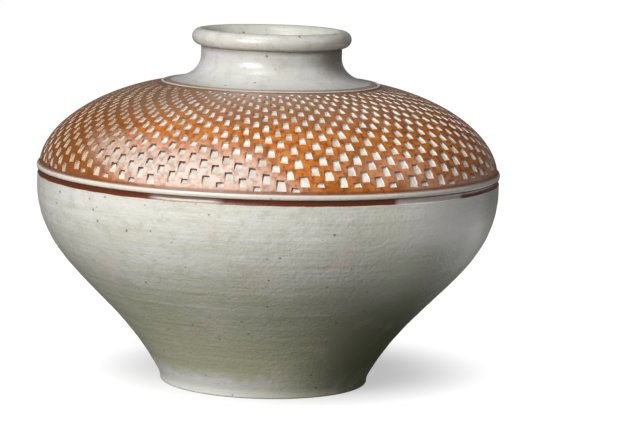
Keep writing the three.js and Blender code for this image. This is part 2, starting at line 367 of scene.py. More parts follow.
foot = trace("turned_foot", closed([
    (foot_inside + INNER_TAPER, 0),
    *arris,
    *foot_line[1:],
    *key(foot_key, foot_seam, KEY_HEIGHT),
    (foot_inside, foot_seam),
]))
turn(foot, ROUND)
finish_thrown(foot, sharp=50)

# %% [markdown]
# ## The bead round the belt
#
# Where the two halves of the body meet, the potter laid a coil of clay over the seam and ran a
# tool along it. It is a half-round bead, and it stands a little proud of the wall.

# %% Bead
bead_middle = (bead_seat_radius + bead_radius) / 2
bead = trace("luted_bead", closed([
    (bead_seat_radius, bead_bottom),
    *rounded((bead_middle, belt), (bead_radius - bead_middle, belt - bead_bottom), -90, 90, 15),
    (bead_seat_radius, bead_top),
]))
turn(bead, ROUND)
finish_thrown(bead, sharp=60)

# %% [markdown]
# ## The carved shoulder: rows and columns
#
# While the clay was firm, about a thousand notches were pressed into the shoulder with the end
# of a small square tool. They stand in columns that lean to the left on their way up, and each
# column sits a third of a step lower than the one on its left.
#
# Cutting them with booleans would be slow and leave ragged faces. Instead the mesh is planned
# like the pattern: a grid whose lines are the edges of the notches. Its columns are as wide as
# a notch or the web between two, in turn, and its rows are levels, three to a step. A notch is
# two faces, one above the other, and the third is the web below the next notch.

# %% The shoulder's sweep, measured along its surface
COLUMNS = 120
LEVELS = 26
STEP = 3
PLAIN_STRIP = 3.4 * mm
DOME_LEAVES, DOME_ARRIVES = (0.034, 0.438), (0.532, 0.134)

shoulder_line = spanned((shoulder_radius, bead_top), (ridge_radius + SLIP, shoulder_top),
                        DOME_LEAVES, DOME_ARRIVES, 600)
line_radius, line_height = np.array(shoulder_line).T
line_steps = np.hypot(np.diff(line_radius), np.diff(line_height))
line_length = np.concatenate([[0], np.cumsum(line_steps)])
dome_length = float(line_length[-1])
level = (dome_length - 2 * PLAIN_STRIP) / LEVELS
level_lines = [PLAIN_STRIP + level * line for line in range(LEVELS + 1)]


def on_shoulder(along):
    """Outline point at a distance along the shoulder, measured up from the bead."""
    return (float(np.interp(along, line_length, line_radius)),
            float(np.interp(along, line_length, line_height)))


print(f"shoulder is {dome_length / mm:.1f} mm from bead to neck, "
      f"in {LEVELS} levels of {level / mm:.2f} mm")

# %% Outline of the shoulder
SEAM_WIDTH = 2.25 * mm
LEDGE_WIDTH = 6.5 * mm
LEDGE_DEPTH = 2.6 * mm

row_places = [0.0, *level_lines, dome_length]
row_points = [on_shoulder(place) for place in row_places]
dome_inside = inside([on_shoulder(dome_length * i / 9) for i in range(10)], SHOULDER_WALL)
neck_seam = ridge_radius + SLIP - SEAM_WIDTH
ledge = ridge_bottom - SLIP - LEDGE_DEPTH

shoulder_outline = closed([
    (bead_seat_radius, bead_top),
    *row_points,
    (ridge_radius + SLIP, ridge_bottom - SLIP),
    (neck_seam, ridge_bottom - SLIP),
    (neck_seam, ledge),
    (neck_seam - LEDGE_WIDTH, ledge),
    *dome_inside[::-1],
    (dome_inside[0][0], belt),
    (bead_seat_radius, belt),
])
shoulder = trace("carved_shoulder", shoulder_outline)
turn(shoulder, 2 * COLUMNS)
print(f"shoulder grid: {len(shoulder.data.polygons)} faces")

# %% [markdown]
# The spin spaced the grid's upright lines evenly. Now they move to the widths of notch and web
# and to the lean of the columns, and each notch by a little chance, because a hand set them one
# by one. The hand drifted too: on one side the columns crowd together, and the rows climb by a
# centimetre half round the vase. Each grid point is a corner of only one notch, so a notch can
# be shifted, turned or sized alone. It stays almost upright, and it is the column that leans.

# %% Where the columns and notches go
COLUMN_TURN = 360 / COLUMNS
NOTCH_TURN = 2.2
NOTCH_HEIGHT = 9.5 * mm
FIRST_COLUMN = 9.6
FIRST_NOTCH = 1.05
CROWDING = {"amount": 5.85, "side": 76.7}
ROW_CLIMB = {"amount": 1.89, "side": 43.7}
LEAN_TURN = 5.6
LEAN_REACH = 110 * mm
UPRIGHT = 0.7
CHANCE = {"turn": 0.08, "rise": 0.45 * mm, "width": 0.06, "height": 0.07, "tilt": 3.0}


def wave(turned, amount, side):
    """An unevenness that swings once round the vase."""
    return amount * math.sin(math.radians(turned + side))


def lean_at(along):
    """Degrees that a column has moved to the left at a distance up the shoulder."""
    return -LEAN_TURN * (1 - (1 - min(along / LEAN_REACH, 1)) ** 2)


even_foot = [FIRST_COLUMN + column * COLUMN_TURN for column in range(COLUMNS)]
column_foot = [even - wave(even, **CROWDING) for even in even_foot]
column_room = [1 - math.radians(wave(even + 90, **CROWDING)) for even in even_foot]
column_start = [FIRST_NOTCH - column - wave(foot_turn, **ROW_CLIMB)
                for column, foot_turn in enumerate(column_foot)]


def notch_at(column, line):
    """The lowest grid line of the notch that owns this line of a column."""
    return line - (line - round(column_start[column])) % STEP


chance = random.Random(11)
moods = {(column, line): {name: chance.gauss(0, spread) for name, spread in CHANCE.items()}
         for column in range(COLUMNS) for line in range(-2, LEVELS + 1)}

# %% Move the grid's points to their notches
outline_places = np.array(shoulder_outline[:-1])
first_row, last_row = 1, len(row_places)
first_line = row_places.index(level_lines[0])
lowest, highest = 0.4 * PLAIN_STRIP, dome_length - 0.4 * PLAIN_STRIP
grid_line = {}

for vertex in shoulder.data.vertices:
    radius = math.hypot(vertex.co.x, vertex.co.y)
    place = int(np.argmin(np.hypot(*(outline_places - (radius, vertex.co.z)).T)))
    turned = math.degrees(math.atan2(vertex.co.y, vertex.co.x))
    column, side = divmod(round(turned / (COLUMN_TURN / 2)) % (2 * COLUMNS), 2)
    across = (side - 0.5) * NOTCH_TURN * column_room[column]
    turned = column_foot[column]
    line = place - first_row - first_line
    if first_row <= place <= last_row:
        along = row_places[place - first_row]
        if 0 <= line <= LEVELS:
            notch = notch_at(column, line)
            off = moods[column, notch]
            radius = on_shoulder(along)[0]
            middle = PLAIN_STRIP + level * (notch + 1)
            upward = (line - notch - 1) * NOTCH_HEIGHT / 2 * (1 + off["height"])
            tilt = math.radians(off["tilt"])
            settled = (column_start[column] - round(column_start[column])) * level
            along = middle + settled + off["rise"] + upward - math.radians(across) * radius * tilt
            along = min(max(along, lowest), highest)
            turned += (off["turn"] + UPRIGHT * lean_at(middle)
                       + (1 - UPRIGHT) * lean_at(middle + upward))
            across = across * (1 + off["width"]) + math.degrees(upward * tilt / radius)
            grid_line[vertex.index] = (column, line)
        else:
            turned += lean_at(along)
        radius, vertex.co.z = on_shoulder(along)
    else:
        rise = (vertex.co.z - belt) / (shoulder_top - belt)
        turned += lean_at(dome_length * rise ** 2)
    turned = math.radians(turned + across)
    vertex.co.x, vertex.co.y = radius * math.sin(turned), -radius * math.cos(turned)

print(f"{len(moods) // STEP} notches planned on {len(grid_line)} grid points")

# %% [markdown]
# ## The carved shoulder: pressing the notches in
#
# Each notch is now two faces. Three insets make its walls: one on the surface, which keeps the
# web flat, a narrow one that dips a little for the softened edge, and a deep one for the steep
# wall. An inset works on all the notches at once and treats each pair of faces as one region.
# Between the first two, the upper corners move in, because the tool was worn round.
#
# Two values go into the mesh for the glaze: cut says how deep in a notch a point lies, and the
# other is painted shade: a dark line along the upper edge of a notch and, a little weaker, the
# left one, on the walls that the light from the upper left leaves in shade.

# %% Choose the faces of the notches
LOWER, UPPER = 1, 2

pick(shoulder)
bpy.ops.object.mode_set(mode="EDIT")
bpy.ops.mesh.select_mode(type="FACE")
bpy.ops.mesh.select_all(action="DESELECT")
grid = bmesh.from_edit_mesh(shoulder.data)
half = grid.faces.layers.int.new("half")
for face in grid.faces:
    lines = [grid_line.get(vertex.index) for vertex in face.verts]
    if None in lines or len({column for column, line in lines}) > 1:
        continue
    column, line = lines[0][0], min(line for _, line in lines)
    part = LOWER + line - notch_at(column, line)
    if part <= UPPER:
        face[half] = part
        face.select_set(True)
print(f"{sum(face.select for face in grid.faces)} faces chosen")
bmesh.update_edit_mesh(shoulder.data)

# %% Inset the notches
FLAT_EDGE = 0.10 * mm
ROUNDER_TOP = 0.16
SOFT_EDGE, SOFT_DIP = 0.28 * mm, 0.25 * mm
STEEP_WALL, NOTCH_DEPTH = 0.22 * mm, 1.25 * mm
LEFT_SHADE = 0.93


def painted_shade_at_corner(vertex, face, part):
    """How much painted shade a corner gets: all above, most of it on the left."""
    centre = face.calc_center_median()
    if part == UPPER and vertex.co.z > centre.z:
        return 1.0
    left = centre.x * vertex.co.y - centre.y * vertex.co.x < 0
    return LEFT_SHADE * part / UPPER if left else 0.0


bpy.ops.mesh.inset(thickness=FLAT_EDGE, depth=0, use_individual=False)
grid = bmesh.from_edit_mesh(shoulder.data)
half = grid.faces.layers.int["half"]
for face in (face for face in grid.faces if face.select and face[half] == UPPER):
    corners = sorted(face.verts, key=lambda vertex: vertex.co.z)[2:]
    middle = (corners[0].co + corners[1].co) / 2
    for vertex in corners:
        vertex.co += ROUNDER_TOP * (middle - vertex.co)
bmesh.update_edit_mesh(shoulder.data)

bpy.ops.mesh.inset(thickness=SOFT_EDGE, depth=-SOFT_DIP, use_individual=False)
grid = bmesh.from_edit_mesh(shoulder.data)
half = grid.faces.layers.int["half"]
cut = grid.verts.layers.float.new("cut")
# A layer for painted shade along the top and left walls of the notches.
painted_notch_shade = grid.verts.layers.float.new("painted_notch_shade")
for face in (face for face in grid.faces if face.select):
    for vertex in face.verts:
        vertex[cut] = 0.5
        vertex[painted_notch_shade] = painted_shade_at_corner(vertex, face, face[half])
bmesh.update_edit_mesh(shoulder.data)

bpy.ops.mesh.inset(thickness=STEEP_WALL, depth=-NOTCH_DEPTH, use_individual=False)
print(f"shoulder with notches: {len(bmesh.from_edit_mesh(shoulder.data).faces)} faces")

# %% [markdown]
# The tool was pressed in from below, so a notch is deepest under its upper edge and runs out
# almost flat at its lower edge. That slope is what catches the light in the photograph: a dark
# line along the top of each notch, and none at the bottom.

# %% Slope the notch floors
DEEPER_AT_TOP = 0.6 * mm
LESS_AT_FOOT = 0.95 * mm
DEEPER_IN_MIDDLE = 0.15 * DEEPER_AT_TOP
UNEVEN = 0.25


def dome_normal(radius, height):
    """The way out of the smooth dome, as shares of radius and height."""
    nearest = int(np.argmin(np.hypot(line_radius - radius, line_height - height)))
    low, high = max(nearest - 2, 0), min(nearest + 2, len(line_radius) - 1)
    along = Vector((line_radius[high] - line_radius[low], line_height[high] - line_height[low]))
    along.normalize()
    return along.y, -along.x


grid = bmesh.from_edit_mesh(shoulder.data)
half = grid.faces.layers.int["half"]
cut, painted_notch_shade = (grid.verts.layers.float[name] for name in ("cut", "painted_notch_shade"))
floors = {}
for face in (face for face in grid.faces if face.select):
    for vertex in face.verts:
        floors.setdefault(vertex, []).append(face)

for vertex, faces in floors.items():
    radius = math.hypot(vertex.co.x, vertex.co.y)
    outward, upward = dome_normal(radius, vertex.co.z)
    centre = sum((face.calc_center_median() for face in faces), Vector()) / len(faces)
    vertex[cut] = 1.0
    vertex[painted_notch_shade] = max(painted_shade_at_corner(vertex, face, face[half]) for face in faces)
    if len({face[half] for face in faces}) == 2:
        push = DEEPER_IN_MIDDLE
    else:
        push = DEEPER_AT_TOP if vertex.co.z > centre.z else -LESS_AT_FOOT
    push *= 1 + UNEVEN * chance.uniform(-1, 1)
    vertex.co.x -= push * outward * vertex.co.x / radius
    vertex.co.y -= push * outward * vertex.co.y / radius
    vertex.co.z -= push * upward
print(f"{len(floors)} floor points sloped")
bmesh.update_edit_mesh(shoulder.data)
bpy.ops.object.mode_set(mode="OBJECT")
shoulder.data.attributes.remove(shoulder.data.attributes["half"])
finish_thrown(shoulder, sharp=70)

# %% [markdown]
# ## The neck: ridge, collar and rim
#
# The collar was thrown apart and seated on a ledge round the shoulder's mouth. A thin ridge of
# clay covers that seam, with a fine line cut on either side. The rim was turned over outwards
# and rolled, which leaves a dark undercut below it.

# %% Ridge over the seam
RIDGE_EDGE = 0.3 * mm
RIDGE_SIDE_DROP = 0.6 * mm

ridge_seat = ridge_bottom - SLIP
ridge_inside = ridge_radius + SLIP - 2 * SEAM_WIDTH
ridge_side = (ridge_bottom + ridge_top) / 2 - RIDGE_SIDE_DROP
ridge = trace("neck_ridge", closed([
    (ridge_inside + RIDGE_EDGE, ridge_seat),
    (ridge_radius, ridge_seat),
    *rounded((ridge_radius - SEAM_WIDTH + RIDGE_EDGE, ridge_side),
             (SEAM_WIDTH - RIDGE_EDGE, ridge_top - ridge_side), 0, 180, 13),
]))
turn(ridge, ROUND)
finish_thrown(ridge, sharp=60)

# %% Collar
NECK_WALL = 8 * mm
RIM_OVERHANG = 8.4 * mm
RIM_SEAM_RISE = 7 * mm
NECK_LEAVES, NECK_ARRIVES = (1.076, 0.156), (0, 0.102)

neck_radius = rim_radius - RIM_OVERHANG
mouth_radius = neck_radius - NECK_WALL
rim_key = (neck_radius + mouth_radius) / 2
rim_joint = rim_seam - SLIP / 2
neck_line = spanned((ridge_inside, ridge_top), (neck_radius, rim_joint - RIM_SEAM_RISE),
                    NECK_LEAVES, NECK_ARRIVES, 44)
neck_inside = [point for point in inside(neck_line[::2], NECK_WALL)
               if point[0] < neck_seam - LEDGE_WIDTH - SLIP]
collar = trace("thrown_collar", closed([
    (neck_seam, ledge),
    (neck_seam, ridge_seat),
    (ridge_inside, ridge_seat),
    *neck_line,
    (neck_radius, rim_joint - RIM_SEAM_RISE / 2),
    (neck_radius, rim_joint),
    *key(rim_key, rim_joint, KEY_HEIGHT),
    (mouth_radius, rim_joint),
    *neck_inside[::-1],
    (neck_seam - LEDGE_WIDTH, ledge - SLIP),
]))
turn(collar, ROUND)
finish_thrown(collar, rings=0.3 * mm, low=ridge_top, high=rim_joint, fade=8 * mm)

# %% Rolled rim
LIP_LEAVES, LIP_ARRIVES = (0.62, 0), (0, 0.45)

roll = (rim_top - rim_joint) / 2
roll_middle = (rim_radius - roll, rim_joint + roll)
rim = trace("rolled_lip", closed([
    *key(rim_key, rim_joint, KEY_HEIGHT)[::-1],
    (neck_radius, rim_joint),
    *rounded(roll_middle, (roll, roll), -90, 90, 29),
    *spanned((roll_middle[0], rim_top), (mouth_radius, rim_joint),
             LIP_LEAVES, LIP_ARRIVES, 20)[1:],
]))
turn(rim, ROUND)
finish_thrown(rim, sharp=50)

# %% [markdown]
# ## Glaze: small tools for shader nodes
#
# The finish is one stoneware glaze over the whole vase, with iron under it in places. What
# several of the materials share is put in node groups, so that it is built once: where a point
# is on the pot, the iron specks, the cloudy tone of the glaze, and its skin. A group only works
# out masks and heights. The Principled shader stays in each material.
#
# One tree is built at a time, and the helpers put their nodes into that one. It is always
# called tree.

# %% Helpers for node trees
def feed(socket, value):
    """Gives an input its value, or links it to another node's socket."""
    if isinstance(value, bpy.types.NodeSocket):
        tree.links.new(value, socket)
    else:
        socket.default_value = value


def put(kind, inputs=None, **settings):
    """Adds a shader node. Each input is a value, or another node's socket to link from."""
    made = tree.nodes.new("ShaderNode" + kind)
    for name, value in settings.items():
        setattr(made, name, value)
    for socket, value in (inputs or {}).items():
        feed(made.inputs[socket], value)
    return made


def start_group(name, inputs, outputs):
    """An empty node group with its named sockets. Returns it with its inner input and output."""
    global tree
    tree = bpy.data.node_groups.new(name, "ShaderNodeTree")
    for socket, value in inputs.items():
        kind = "NodeSocketVector" if value is None else "NodeSocketFloat"
        made = tree.interface.new_socket(socket, in_out="INPUT", socket_type=kind)
        if value is not None:
            made.default_value = value
    for socket, kind in outputs.items():
        tree.interface.new_socket(socket, in_out="OUTPUT", socket_type="NodeSocket" + kind)
    return tree, tree.nodes.new("NodeGroupInput").outputs, tree.nodes.new("NodeGroupOutput").inputs


def use(group, **inputs):
    """Places a node group in the tree."""
    return put("Group", inputs, node_tree=group).outputs


def calculate(operation, first, second=0.0):
    return put("Math", {0: first, 1: second}, operation=operation).outputs[0]


def times(first, second):
    return calculate("MULTIPLY", first, second)


def plus(first, second):
    return calculate("ADD", first, second)


def ramp(value, start, end, low=0.0, high=1.0):
    """A soft step of a value from low at start to high at end."""
    return put("MapRange", {"Value": value, "From Min": start, "From Max": end,
                            "To Min": low, "To Max": high},
               interpolation_type="SMOOTHSTEP").outputs["Result"]


def band(value, low, high, soft):
    """1 where a value is between two limits, with a soft step at each of them."""
    return times(ramp(value, low - soft, low + soft), ramp(value, high + soft, high - soft))


def noise(where, scale, detail, roughness=0.5):
    return put("TexNoise", {"Vector": where, "Scale": scale, "Detail": detail,
                            "Roughness": roughness}).outputs["Fac"]


def blend(mask, colour, other, mode="MIX"):
    """One colour, and the other over it as far as the mask says."""
    made = put("Mix", data_type="RGBA", blend_type=mode)
    slots = {slot.identifier: slot for slot in (*made.inputs, *made.outputs)}
    feed(slots["Factor_Float"], mask)
    for name, value in (("A_Color", colour), ("B_Color", other)):
        feed(slots[name], (*value, 1) if isinstance(value, tuple) else value)
    return slots["Result_Color"]


# %% [markdown]
# Every mark on a turned pot has a natural address: how far round, how high and how far out. The
# first group turns Object coordinates into these three numbers. Round is in degrees from the
# front, to the right, and height and radius are in metres.

# %% Group: place on the pot
place_group, _, ends = start_group("place on the pot", {}, {
    "Point": "Vector", "Round": "Float", "Height": "Float", "Radius": "Float"})
point = put("TexCoord").outputs["Object"]
to_right, to_back, to_top = put("SeparateXYZ", {0: point}).outputs
angle = calculate("ARCTAN2", to_right, times(to_back, -1.0))
flat = put("CombineXYZ", {"X": to_right, "Y": to_back}).outputs[0]
feed(ends["Point"], point)
feed(ends["Round"], calculate("DEGREES", angle))
feed(ends["Height"], to_top)
feed(ends["Radius"], put("VectorMath", {0: flat}, operation="LENGTH").outputs["Value"])

# %% [markdown]
# Iron in the clay bleeds through the glaze as specks. They are the cells of a Voronoi texture:
# near a cell's middle the distance is small, and only a share of the cells, picked by the
# cell's own random colour, gets a speck. A little noise in the coordinates makes them uneven.

# %% Group: iron specks
speck_group, given, ends = start_group(
    "iron specks", {"Point": None, "Spacing": 0.015, "Size": 0.05, "Share": 0.5},
    {"Speck": "Float"})
ragged = put("TexNoise", {"Vector": given["Point"], "Scale": 900.0, "Detail": 1.0})
shift = put("VectorMath", {0: ragged.outputs["Color"], "Scale": 1.6 * mm}, operation="SCALE")
shaken = put("VectorMath", {0: given["Point"], 1: shift.outputs[0]}, operation="ADD")
cells = put("TexVoronoi", {"Vector": shaken.outputs[0],
                           "Scale": calculate("DIVIDE", 1.0, given["Spacing"])}).outputs
lot = put("SeparateColor", {0: cells["Color"]}).outputs
drawn = calculate("LESS_THAN", lot["Red"], given["Share"])
wide = times(given["Size"], plus(0.4, lot["Green"]))
feed(ends["Speck"], times(ramp(cells["Distance"], wide, times(wide, 0.35)), drawn))

# %% [markdown]
# The glaze is never one tone. It is thicker in some places and more iron has come through in
# others, in clouds a few centimetres wide that are drawn out round the pot by the wheel. Finer
# streaks follow the throwing lines. The skin is the small unevenness that breaks up
# reflections: lines from the wheel, an orange-peel surface, small lumps and a few pinholes.

# %% Group: cloudy tone and streaks
def drawn_out(where, flatter):
    """Coordinates in which a texture is drawn out round the pot."""
    return put("Mapping", {"Vector": where, "Scale": (1.0, 1.0, flatter)}).outputs[0]


tone_group, given, ends = start_group(
    "cloudy tone", {"Point": None}, {"Cloud": "Float", "Streak": "Float"})
clouds = noise(drawn_out(given["Point"], 2.2), 16.0, 4.0, 0.55)
streaks = noise(drawn_out(given["Point"], 26.0), 7.0, 5.0, 0.6)
feed(ends["Cloud"], ramp(clouds, 0.32, 0.68))
feed(ends["Streak"], ramp(streaks, 0.30, 0.70))

# %% Group: glaze skin
skin_group, given, ends = start_group("glaze skin", {"Point": None}, {"Height": "Float"})
wheel_lines = noise(drawn_out(given["Point"], 30.0), 14.0, 3.0)
lumps = noise(given["Point"], 340.0, 2.0)
pits = use(speck_group, Point=given["Point"], Spacing=7 * mm, Size=0.10, Share=0.5)["Speck"]
skin = noise(given["Point"], 230.0, 3.0)
for layer, amount in ((wheel_lines, 0.7), (lumps, 0.8), (pits, -0.7)):
    skin = plus(skin, times(layer, amount))
feed(ends["Height"], skin)
print("node groups:", ", ".join(group.name for group in bpy.data.node_groups))

# %% [markdown]
# ## The body glaze
#
# A satin, cream to grey-green glaze covers the body, the neck and the rim. It is creamier high
# on the belly and greener towards the foot, with dull smudges, faint warm blushes and specks.
# Low on the right it is painted dark olive as shade, and at the front left the foot is painted
# white as light falling on it.
# All the pale materials start from this recipe and then add their own marks to its colour.

# %% Recipe for a pale glaze
CREAM = (0.68, 0.668, 0.632)
GREY_GREEN = (0.475, 0.475, 0.325)
DULL_GLAZE = (0.42, 0.41, 0.32)
PAINTED_SHADE_OLIVE = (0.12, 0.14, 0.035)
BLUSH = (0.68, 0.56, 0.47)
PAINTED_LIGHT_ON_FOOT = (0.76, 0.755, 0.72)
IRON_SPECK = (0.15, 0.11, 0.075)
PAINTED_SHADE_TURN = (34.0, 150.0)


def start_tree(owner):
    """Empties the node tree of a material or the world, for the helpers to fill."""
    global tree
    owner.use_nodes = True
    tree = owner.node_tree
    tree.nodes.clear()
    return owner


def start_glaze(name):
    """A new material, and where on the pot its points are."""
    return start_tree(bpy.data.materials.new(name)), use(place_group)


def pale_glaze(place):
    """Glaze colour: clouds, streaks, specks, painted shade low right and painted light on the
    foot.
    """
    tone = use(tone_group, Point=place["Point"])
    # Painted shade: low on the right, away from the lamps, the glaze is painted greener.
    painted_shade_side = band(place["Round"], *PAINTED_SHADE_TURN, 28.0)
    painted_shade_green = ramp(place["Height"], 170 * mm, 120 * mm, 0.0, 0.16)
    green = ramp(place["Height"], 155 * mm, 35 * mm, 0.0, 0.82)
    for layer, amount in ((tone["Cloud"], 0.30), (tone["Streak"], 0.24),
                          (painted_shade_side, painted_shade_green)):
        green = plus(green, times(layer, amount))
    colour = blend(green, CREAM, GREY_GREEN)
    smudge = noise(place["Point"], 85.0, 5.0, 0.65)
    colour = blend(ramp(smudge, 0.52, 0.34, 0.0, 0.34), colour, DULL_GLAZE)
    # Painted shade: dark olive low on the right.
    painted_olive_shade = times(painted_shade_side, ramp(place["Height"], 150 * mm, 50 * mm))
    colour = blend(painted_olive_shade, colour, PAINTED_SHADE_OLIVE)
    blush = noise(place["Point"], 34.0, 3.0)
    colour = blend(ramp(blush, 0.56, 0.72, 0.0, 0.35), colour, BLUSH)
    # Painted light: the foot is whitened at the front left, where the light falls on it.
    edge = plus(place["Height"], times(smudge, 16 * mm))
    white = times(ramp(edge, 36 * mm, 20 * mm), ramp(place["Round"], -35.0, 25.0, 0.95, 0.14))
    colour = blend(white, colour, PAINTED_LIGHT_ON_FOOT)
    for spacing, share, strength in ((5 * mm, 0.60, 0.5), (10.5 * mm, 0.75, 0.8)):
        specks = use(speck_group, Point=place["Point"], Spacing=spacing, Size=0.13, Share=share)
        colour = blend(times(specks["Speck"], strength), colour, IRON_SPECK)
    return colour


def close(place, colour, roughness, bump=0.5, coat=0.0):
    """The Principled shader, with the glaze's skin as bump and its satin roughness."""
    tone = use(tone_group, Point=place["Point"])
    skin = use(skin_group, Point=place["Point"])
    relief = put("Bump", {"Strength": bump, "Distance": 0.5 * mm, "Height": skin["Height"]})
    satin = plus(roughness, times(tone["Cloud"], 0.10))
    shader = put("BsdfPrincipled", {
        "Base Color": colour, "Roughness": satin, "Normal": relief.outputs[0], "IOR": 1.5,
        "Coat Weight": coat, "Coat Roughness": 0.2})
    put("OutputMaterial", {"Surface": shader.outputs[0]})


# %% [markdown]
# The brown line lies in the bowl's groove. In two places it is painted paler, for the lamps that
# are mirrored in the glaze: at the front left a painted highlight, with a pale stripe along the
# groove's middle, and at the right a painted reflection, in a pale patch that is painted over the
# belt as well. Below that patch, a pale flush is painted light.

# %% Bowl glaze, with the painted line in its groove
IRON_LINE = (0.125, 0.024, 0.005)
LINE_IN_PAINTED_REFLECTION = (0.50, 0.42, 0.38)
LINE_IN_PAINTED_HIGHLIGHT = (0.24, 0.155, 0.12)
PAINTED_HIGHLIGHT_IN_GROOVE = (0.62, 0.54, 0.47)
PAINTED_LIGHT_ON_BELLY = (0.84, 0.86, 0.70)
PAINTED_REFLECTION_ON_BELLY = (0.85, 0.84, 0.81)
LINE_HIGHLIGHT_TURN, LINE_REFLECTION_TURN = (-27.0, -12.0), (31.5, 53.0)
PAINTED_REFLECTION_TURN, PAINTED_LIGHT_TURN = (35.0, 66.0), (29.0, 47.0)


def painted_reflection_patch(place):
    """Where a painted reflection of the lamp on the right lies, high on the right of the bowl."""
    return times(band(place["Round"], *PAINTED_REFLECTION_TURN, 4.0),
                 band(place["Height"], 148 * mm, bead_top + 6 * mm, 9 * mm))


bowl_glaze, place = start_glaze("cream stoneware glaze, bowl")
waver = plus(noise(place["Point"], 60.0, 2.0), -0.5)
brush = plus(place["Height"], times(waver, 0.9 * mm))
painted = band(brush, bead_bottom - 0.95 * GROOVE_HEIGHT, bead_bottom + 2 * mm, 0.35 * mm)
outer_side = ramp(place["Radius"], belly_radius - 6 * mm, belly_radius - 4 * mm)
# The line is painted paler as a highlight at the front left and as a reflection at the right.
painted_line_highlight = band(place["Round"], *LINE_HIGHLIGHT_TURN, 2.5)
painted_line_reflection = band(place["Round"], *LINE_REFLECTION_TURN, 1.0)
line_colour = blend(calculate("MAXIMUM", painted_line_highlight, painted_line_reflection), IRON_LINE,
                    blend(painted_line_highlight, LINE_IN_PAINTED_REFLECTION, LINE_IN_PAINTED_HIGHLIGHT))
middle = band(brush, bead_bottom - 0.72 * GROOVE_HEIGHT, bead_bottom - 0.40 * GROOVE_HEIGHT,
              0.3 * mm)
# A pale stripe of painted highlight along the groove's middle at the front left.
line_colour = blend(times(painted_line_highlight, middle), line_colour, PAINTED_HIGHLIGHT_IN_GROOVE)

# Painted light: a pale flush on the right of the belly, below the painted reflection.
painted_light = times(band(place["Round"], *PAINTED_LIGHT_TURN, 10.0),
              band(place["Height"], 105 * mm, 200 * mm, 22 * mm))
colour = blend(times(painted_light, 0.75), pale_glaze(place), PAINTED_LIGHT_ON_BELLY)
# Painted reflection: a pale patch high on the right of the belly and over the belt.
colour = blend(times(painted_reflection_patch(place), 0.85), colour, PAINTED_REFLECTION_ON_BELLY)
colour = blend(times(painted, outer_side), colour, line_colour)
close(place, colour, 0.30, bump=0.7)

# %% [markdown]
# The foot's resting face was wiped bare. The collar is a little bluer than the body and stained
# brown along its lowest line. Under the rim, most of all on the right, it is painted darker as
# the rim's shade, and so is the underside of the rim's roll.

# %% Glaze for the foot, collar and rim
BARE_CLAY = (0.30, 0.21, 0.14)
COLLAR_TINT = (0.895, 0.895, 0.965)
RIM_TINT = (0.92, 0.915, 0.925)
PAINTED_RIM_SHADE = (0.22, 0.20, 0.145)
IRON_STAIN = (0.30, 0.19, 0.13)
PAINTED_SHADE_NECK_TURN = (42.0, 130.0)

foot_glaze, place = start_glaze("cream stoneware glaze, foot")
wiped = ramp(place["Height"], 0.9 * mm, 0.2 * mm)
close(place, blend(wiped, pale_glaze(place), BARE_CLAY), 0.34)

collar_glaze, place = start_glaze("cream stoneware glaze, collar")
colour = blend(1.0, pale_glaze(place), COLLAR_TINT, mode="MULTIPLY")
# Painted shade: darker under the rim, and down the right of the neck in the rim's shadow.
painted_shade_under_rim = ramp(place["Height"], rim_joint - 6 * mm, rim_joint - 1.5 * mm, 0.0, 0.6)
painted_neck_shade = times(band(place["Round"], *PAINTED_SHADE_NECK_TURN, 20.0),
             ramp(place["Height"], rim_joint - 28 * mm, rim_joint - 8 * mm, 0.0, 0.9))
colour = blend(calculate("MAXIMUM", painted_shade_under_rim, painted_neck_shade), colour, PAINTED_RIM_SHADE)
low_line = ramp(place["Height"], ridge_top + 1.8 * mm, ridge_top + 0.6 * mm, 0.0, 0.85)
outer_side = ramp(place["Radius"], ridge_inside - 6 * mm, ridge_inside - 4 * mm)
colour = blend(times(low_line, outer_side), colour, IRON_STAIN)
close(place, colour, 0.26)

rim_glaze, place = start_glaze("cream stoneware glaze, rim")
colour = blend(1.0, pale_glaze(place), RIM_TINT, mode="MULTIPLY")
# Painted shade on the underside of the rim's roll.
painted_shade_under_rim = ramp(place["Height"], rim_joint + 2.4 * mm, rim_joint + 0.4 * mm, 0.0, 0.6)
close(place, blend(painted_shade_under_rim, colour, PAINTED_RIM_SHADE), 0.24)

# %% Glaze for the bead and the ridge
BEAD_CREAM = (0.72, 0.66, 0.55)
BEAD_STAIN = (0.20, 0.075, 0.04)
RIDGE_STAIN = (0.13, 0.075, 0.05)

bead_glaze, place = start_glaze("pale bead glaze")
colour = blend(0.35, pale_glaze(place), BEAD_CREAM)
low_edge = ramp(place["Height"], bead_bottom + 1.3 * mm, bead_bottom + 0.5 * mm, 0.0, 0.75)
high_edge = ramp(place["Height"], bead_top - 1.2 * mm, bead_top - 0.3 * mm, 0.0, 0.75)
colour = blend(calculate("MAXIMUM", low_edge, high_edge), colour, BEAD_STAIN)
close(place, colour, 0.30)

ridge_glaze, place = start_glaze("pale ridge glaze")
crown = ramp(place["Height"], ridge_top - 1.1 * mm, ridge_top - 0.3 * mm)
close(place, blend(crown, RIDGE_STAIN, pale_glaze(place)), 0.32)
print("pale glazes:", ", ".join(
    glaze.name for glaze in (foot_glaze, bowl_glaze, bead_glaze, ridge_glaze, collar_glaze,
                             rim_glaze)))

# %% [markdown]
# ## The carved shoulder's two glazes
#
# Rust-brown iron slip was brushed over the shoulder and the notches were pressed through it, so
# the pale glaze shows in them and the slip stays on the webs. Which is which comes from the
# value called cut: it is 0 on the webs, 0.5 halfway down a wall and 1 on a notch's floor.
#
# The slip is thick and dark on the left, greyer near the neck, and mottled all over. Low on the
# front lies a painted highlight: webs and notches are painted pale and pinkish there, for the
# lamps mirrored in the glaze. It is matt, while the webs round it carry a clear coat, and the
# painted shade along the notches' upper and left edges is strongest in it.

